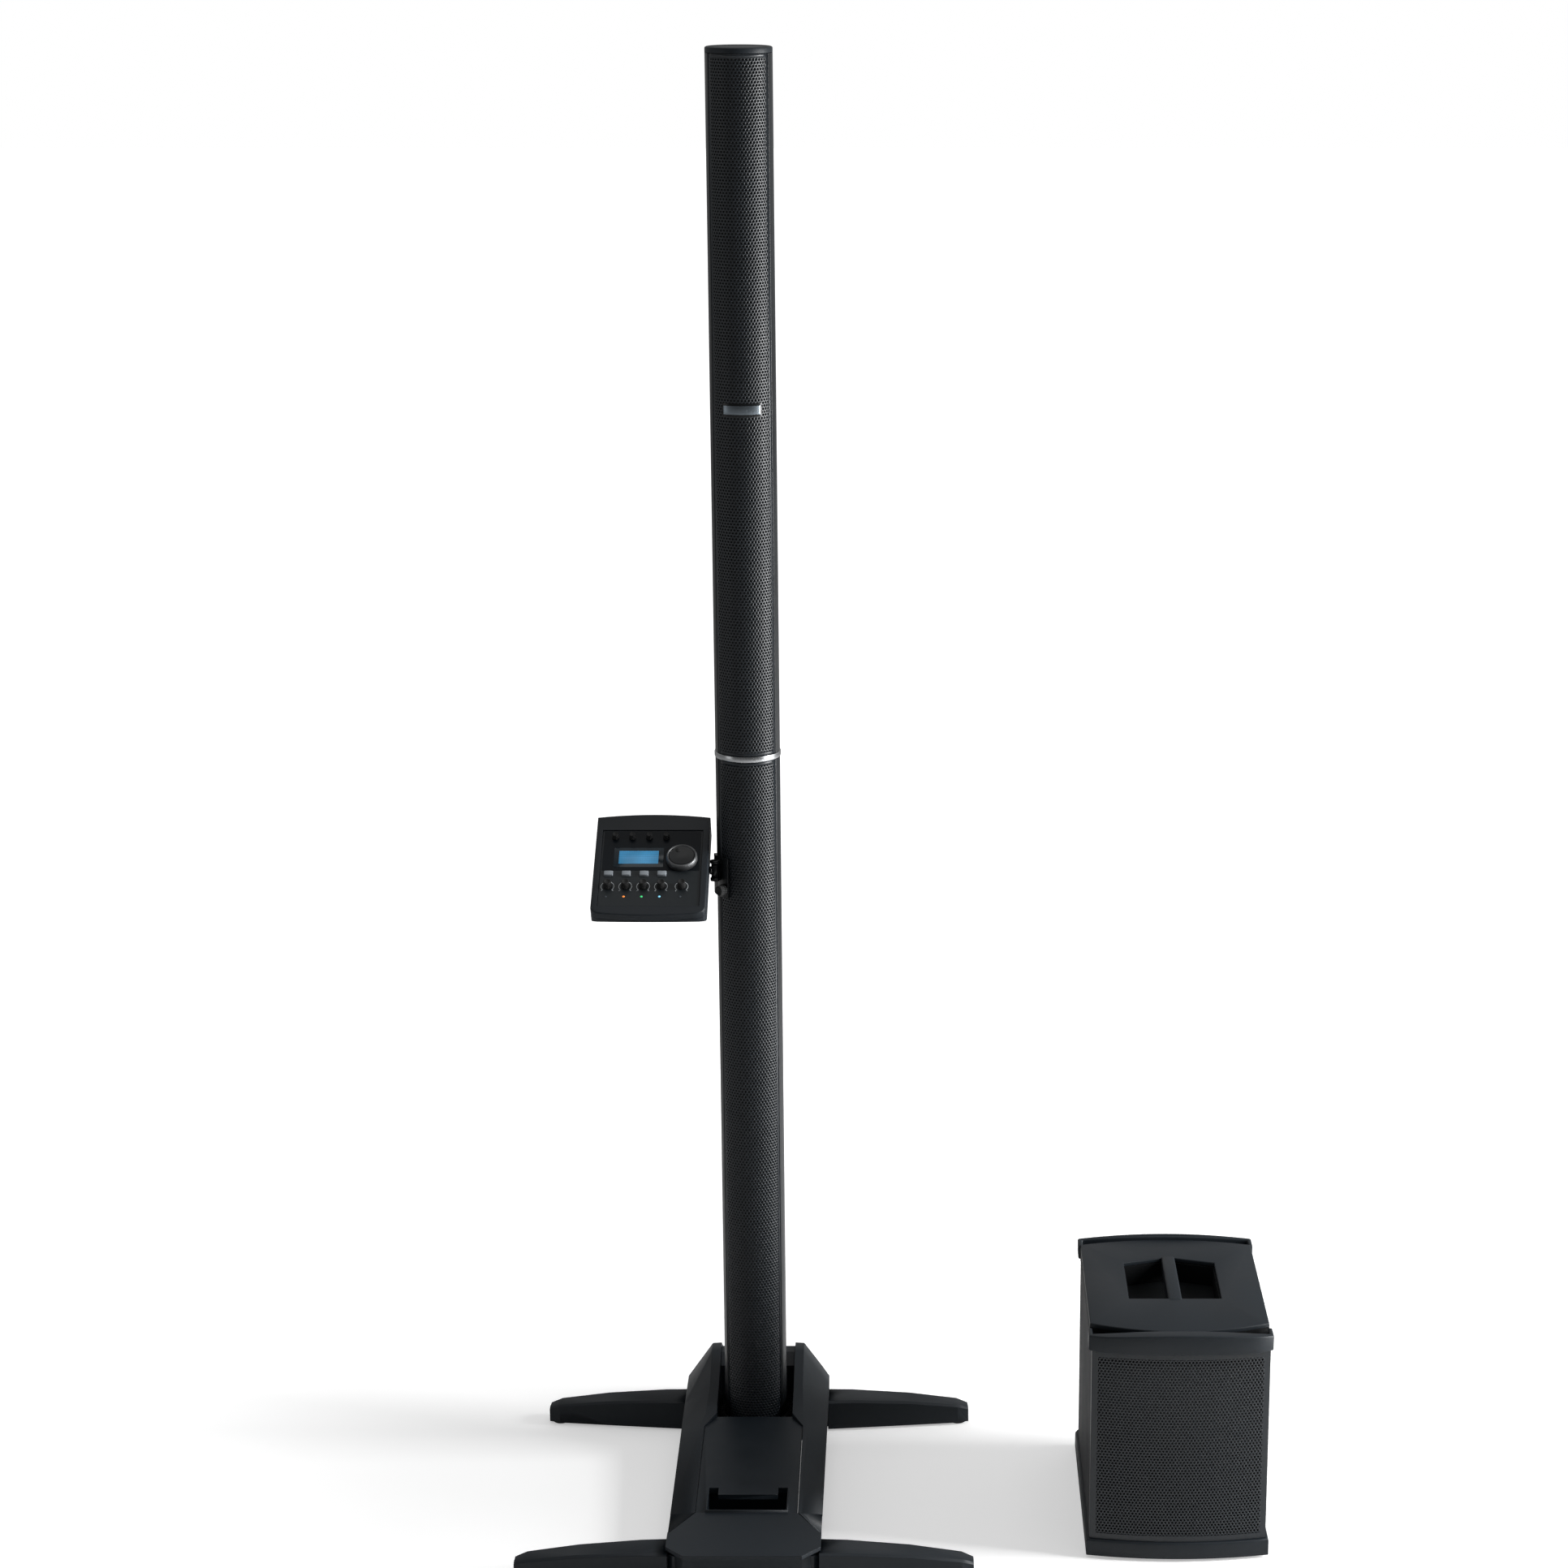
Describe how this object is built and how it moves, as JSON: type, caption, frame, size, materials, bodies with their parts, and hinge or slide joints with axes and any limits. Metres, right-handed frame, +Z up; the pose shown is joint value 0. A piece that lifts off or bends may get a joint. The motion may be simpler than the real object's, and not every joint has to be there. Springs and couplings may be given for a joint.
{
  "type": "column pa system",
  "caption": "Column loudspeaker system: slim two-part column on a low powered stand with folding legs, small mixer on a side arm, and a separate bass module.",
  "frame": {"origin": "on the floor under the column's axis, at the middle of the centre foot", "axes": "+Z up along the column, +X to the right seen from the front, front towards -Y"},
  "size_m": [1.0897, 0.662, 2.13],
  "materials": {
    "shell_aluminium": "satin",
    "grille_steel": "matte",
    "charcoal_plastic": "matte",
    "black_plastic": "satin",
    "satin_metal": "satin",
    "arm_steel": "satin",
    "chassis_steel": "matte",
    "cone_paper": "matte",
    "circuit_board": "matte",
    "foot_rubber": "matte",
    "screen_glass": "gloss",
    "button_grey": "matte",
    "cabinet_paint": "matte"
  },
  "bodies": {
    "stand": {"chassis_tray": "chassis_steel", "centre_foot": "foot_rubber", "column_socket": "black_plastic", "left_cheek": "charcoal_plastic", "right_cheek": "charcoal_plastic", "deck_cover": "charcoal_plastic", "nose_cover": "charcoal_plastic", "rear_cover": "charcoal_plastic", "connector_plate": "black_plastic", "mains_inlet": "black_plastic", "output_socket": "black_plastic", "amplifier_board": "circuit_board", "transformer": "circuit_board"},
    "power_switch": {"power_switch": "black_plastic"},
    "rear_right_leg": {"rear_right_leg": "charcoal_plastic"},
    "rear_left_leg": {"rear_left_leg": "charcoal_plastic"},
    "front_right_leg": {"front_right_leg": "charcoal_plastic"},
    "front_left_leg": {"front_left_leg": "charcoal_plastic"},
    "lower_column": {"lower_column_shell": "shell_aluminium", "lower_column_grille": "grille_steel", "lower_drivers": "cone_paper", "base_plug": "black_plastic", "head_collar": "black_plastic", "arm_clamp": "black_plastic"},
    "upper_column": {"upper_column_shell": "shell_aluminium", "upper_column_grille": "grille_steel", "upper_drivers": "cone_paper", "spigot": "black_plastic", "joint_ring": "satin_metal", "top_cap": "black_plastic", "badge_plate": "satin_metal"},
    "clamp_knob": {"clamp_knob": "black_plastic"},
    "swing_arm": {"swing_arm": "arm_steel"},
    "mixer": {"mixer_base": "charcoal_plastic", "mixer_panel": "black_plastic", "mixer_board": "circuit_board", "display_window": "screen_glass"},
    "selector_dial": {"selector_dial": "black_plastic"},
    "trim_knob_1": {"trim_knob_1": "black_plastic"},
    "trim_knob_2": {"trim_knob_2": "black_plastic"},
    "trim_knob_3": {"trim_knob_3": "black_plastic"},
    "trim_knob_4": {"trim_knob_4": "black_plastic"},
    "level_knob_1": {"level_knob_1": "black_plastic"},
    "level_knob_2": {"level_knob_2": "black_plastic"},
    "level_knob_3": {"level_knob_3": "black_plastic"},
    "level_knob_4": {"level_knob_4": "black_plastic"},
    "level_knob_5": {"level_knob_5": "black_plastic"},
    "push_button_1": {"push_button_1": "button_grey"},
    "push_button_2": {"push_button_2": "button_grey"},
    "push_button_3": {"push_button_3": "button_grey"},
    "push_button_4": {"push_button_4": "button_grey"},
    "bass_module": {"bass_cabinet": "cabinet_paint", "bass_top_cap": "charcoal_plastic", "bass_bottom_cap": "charcoal_plastic", "bass_grille": "grille_steel", "lower_woofer": "cone_paper", "upper_woofer": "cone_paper", "bass_port": "black_plastic", "bass_input_plate": "black_plastic"}
  },
  "joints": [
    {"name": "rear_right_leg_fold", "type": "hinge", "parent": "stand", "child": "rear_right_leg", "pos_m": [0.088, 0.083, 0], "axis": [0, 0, 1], "range_deg": [-94, 0]},
    {"name": "rear_left_leg_fold", "type": "hinge", "parent": "stand", "child": "rear_left_leg", "pos_m": [-0.088, 0.083, 0], "axis": [0, 0, 1], "range_deg": [0, 94]},
    {"name": "front_right_leg_fold", "type": "hinge", "parent": "stand", "child": "front_right_leg", "pos_m": [0.088, -0.425, 0], "axis": [0, 0, 1], "range_deg": [0, 88.5]},
    {"name": "front_left_leg_fold", "type": "hinge", "parent": "stand", "child": "front_left_leg", "pos_m": [-0.088, -0.425, 0], "axis": [0, 0, 1], "range_deg": [-88.5, 0]},
    {"name": "switch_rock", "type": "hinge", "parent": "stand", "child": "power_switch", "pos_m": [0.038, 0.1835, 0.033], "axis": [1, 0, 0], "range_deg": [0, 8]},
    {"name": "column_lift", "type": "slide", "parent": "stand", "child": "lower_column", "axis": [0, 0, 1], "range_m": [0, 0.15]},
    {"name": "upper_lift", "type": "slide", "parent": "lower_column", "child": "upper_column", "axis": [0, 0, 1], "range_m": [0, 0.12]},
    {"name": "clamp_turn", "type": "hinge", "parent": "lower_column", "child": "clamp_knob", "pos_m": [-0.04029, -0.04172, 0.917], "axis": [-0.6947, -0.7193, 0], "range_deg": [0, 360]},
    {"name": "arm_swing", "type": "hinge", "parent": "lower_column", "child": "swing_arm", "pos_m": [-0.04889, -0.03175, 0.945], "axis": [0, 0, 1], "range_deg": [-10, 45]},
    {"name": "mixer_tilt", "type": "hinge", "parent": "swing_arm", "child": "mixer", "pos_m": [-0.05749, -0.03175, 0.945], "axis": [1, 0, 0], "range_deg": [-30, 30]},
    {"name": "dial_turn", "type": "hinge", "parent": "mixer", "child": "selector_dial", "pos_m": [-0.09599, -0.05223, 0.96747], "axis": [0, -0.5, 0.866], "continuous": true},
    {"name": "trim_1_turn", "type": "hinge", "parent": "mixer", "child": "trim_knob_1", "pos_m": [-0.19599, -0.01239, 0.99047], "axis": [0, -0.5, 0.866], "range_deg": [-150, 150]},
    {"name": "trim_2_turn", "type": "hinge", "parent": "mixer", "child": "trim_knob_2", "pos_m": [-0.17099, -0.01239, 0.99047], "axis": [0, -0.5, 0.866], "range_deg": [-150, 150]},
    {"name": "trim_3_turn", "type": "hinge", "parent": "mixer", "child": "trim_knob_3", "pos_m": [-0.14599, -0.01239, 0.99047], "axis": [0, -0.5, 0.866], "range_deg": [-150, 150]},
    {"name": "trim_4_turn", "type": "hinge", "parent": "mixer", "child": "trim_knob_4", "pos_m": [-0.12099, -0.01239, 0.99047], "axis": [0, -0.5, 0.866], "range_deg": [-150, 150]},
    {"name": "level_1_turn", "type": "hinge", "parent": "mixer", "child": "level_knob_1", "pos_m": [-0.20199, -0.09813, 0.94097], "axis": [0, -0.5, 0.866], "range_deg": [-150, 150]},
    {"name": "level_2_turn", "type": "hinge", "parent": "mixer", "child": "level_knob_2", "pos_m": [-0.17599, -0.09813, 0.94097], "axis": [0, -0.5, 0.866], "range_deg": [-150, 150]},
    {"name": "level_3_turn", "type": "hinge", "parent": "mixer", "child": "level_knob_3", "pos_m": [-0.14999, -0.09813, 0.94097], "axis": [0, -0.5, 0.866], "range_deg": [-150, 150]},
    {"name": "level_4_turn", "type": "hinge", "parent": "mixer", "child": "level_knob_4", "pos_m": [-0.12399, -0.09813, 0.94097], "axis": [0, -0.5, 0.866], "range_deg": [-150, 150]},
    {"name": "level_5_turn", "type": "hinge", "parent": "mixer", "child": "level_knob_5", "pos_m": [-0.09399, -0.09813, 0.94097], "axis": [0, -0.5, 0.866], "range_deg": [-150, 150]},
    {"name": "button_1_press", "type": "slide", "parent": "mixer", "child": "push_button_1", "axis": [0, 0.5, -0.866], "range_m": [0, 0.0015], "stiffness_N_per_m": 200, "springref_m": -0.0005},
    {"name": "button_2_press", "type": "slide", "parent": "mixer", "child": "push_button_2", "axis": [0, 0.5, -0.866], "range_m": [0, 0.0015], "stiffness_N_per_m": 200, "springref_m": -0.0005},
    {"name": "button_3_press", "type": "slide", "parent": "mixer", "child": "push_button_3", "axis": [0, 0.5, -0.866], "range_m": [0, 0.0015], "stiffness_N_per_m": 200, "springref_m": -0.0005},
    {"name": "button_4_press", "type": "slide", "parent": "mixer", "child": "push_button_4", "axis": [0, 0.5, -0.866], "range_m": [0, 0.0015], "stiffness_N_per_m": 200, "springref_m": -0.0005},
    {"name": "bass_module_lift", "type": "slide", "parent": "stand", "child": "bass_module", "axis": [0, 0, 1], "range_m": [0, 0.3]}
  ]
}
